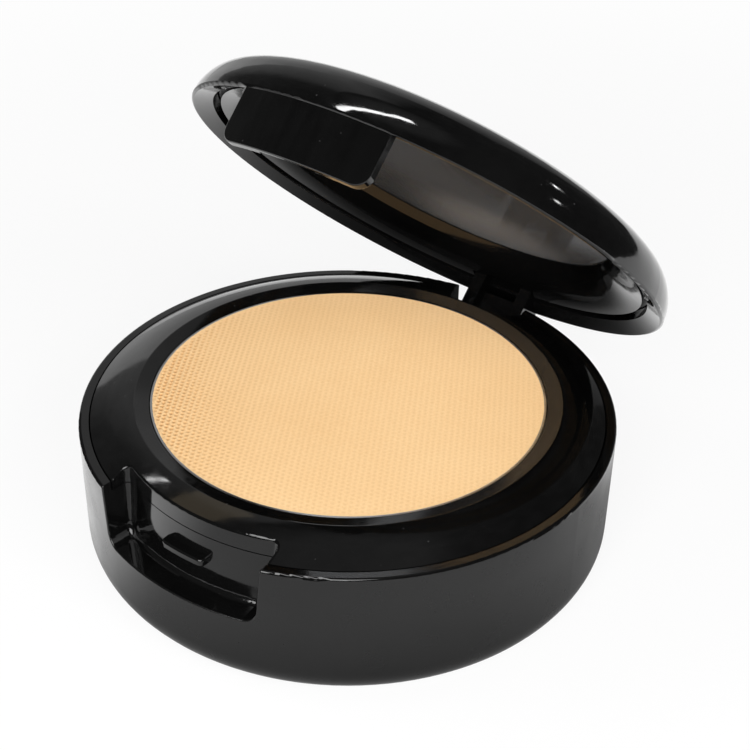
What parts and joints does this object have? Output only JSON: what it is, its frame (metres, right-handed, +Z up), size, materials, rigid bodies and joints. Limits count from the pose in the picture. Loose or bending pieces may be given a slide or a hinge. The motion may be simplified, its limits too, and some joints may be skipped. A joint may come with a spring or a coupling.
{
  "type": "powder compact",
  "caption": "Round black cosmetic compact standing open: pressed powder in a domed deck, finger notch at the front, mirror in a hinged dome lid.",
  "frame": {"origin": "centre of the flat underside of the base", "axes": "+Z up, -Y towards the finger notch at the front, +Y towards the hinge; the lid is stored open at the pictured angle"},
  "size_m": [0.075, 0.0819, 0.0707],
  "materials": {
    "black_gloss": "polished black",
    "black_satin": "satin black",
    "pan_metal": "bright rolled sheet",
    "powder": "matte pressed powder with a fine embossed weave",
    "mirror_glass": "silvered glass",
    "pin_steel": "drawn wire",
    "adhesive": "matte adhesive film"
  },
  "bodies": {
    "base": {"base_shell": "black_satin", "deck": "black_gloss", "pan": "pan_metal", "pan_adhesive": "adhesive", "powder_cake": "powder", "hinge_pin": "pin_steel"},
    "lid": {"lid_shell": "black_gloss", "lid_frame": "black_gloss", "mirror": "mirror_glass", "mirror_adhesive": "adhesive"}
  },
  "joints": [
    {"name": "lid_hinge", "type": "hinge", "parent": "base", "child": "lid", "pos_m": [0, 0.03395, 0.0118], "axis": [-1, 0, 0], "range_deg": [-45.8, 64.2]}
  ]
}
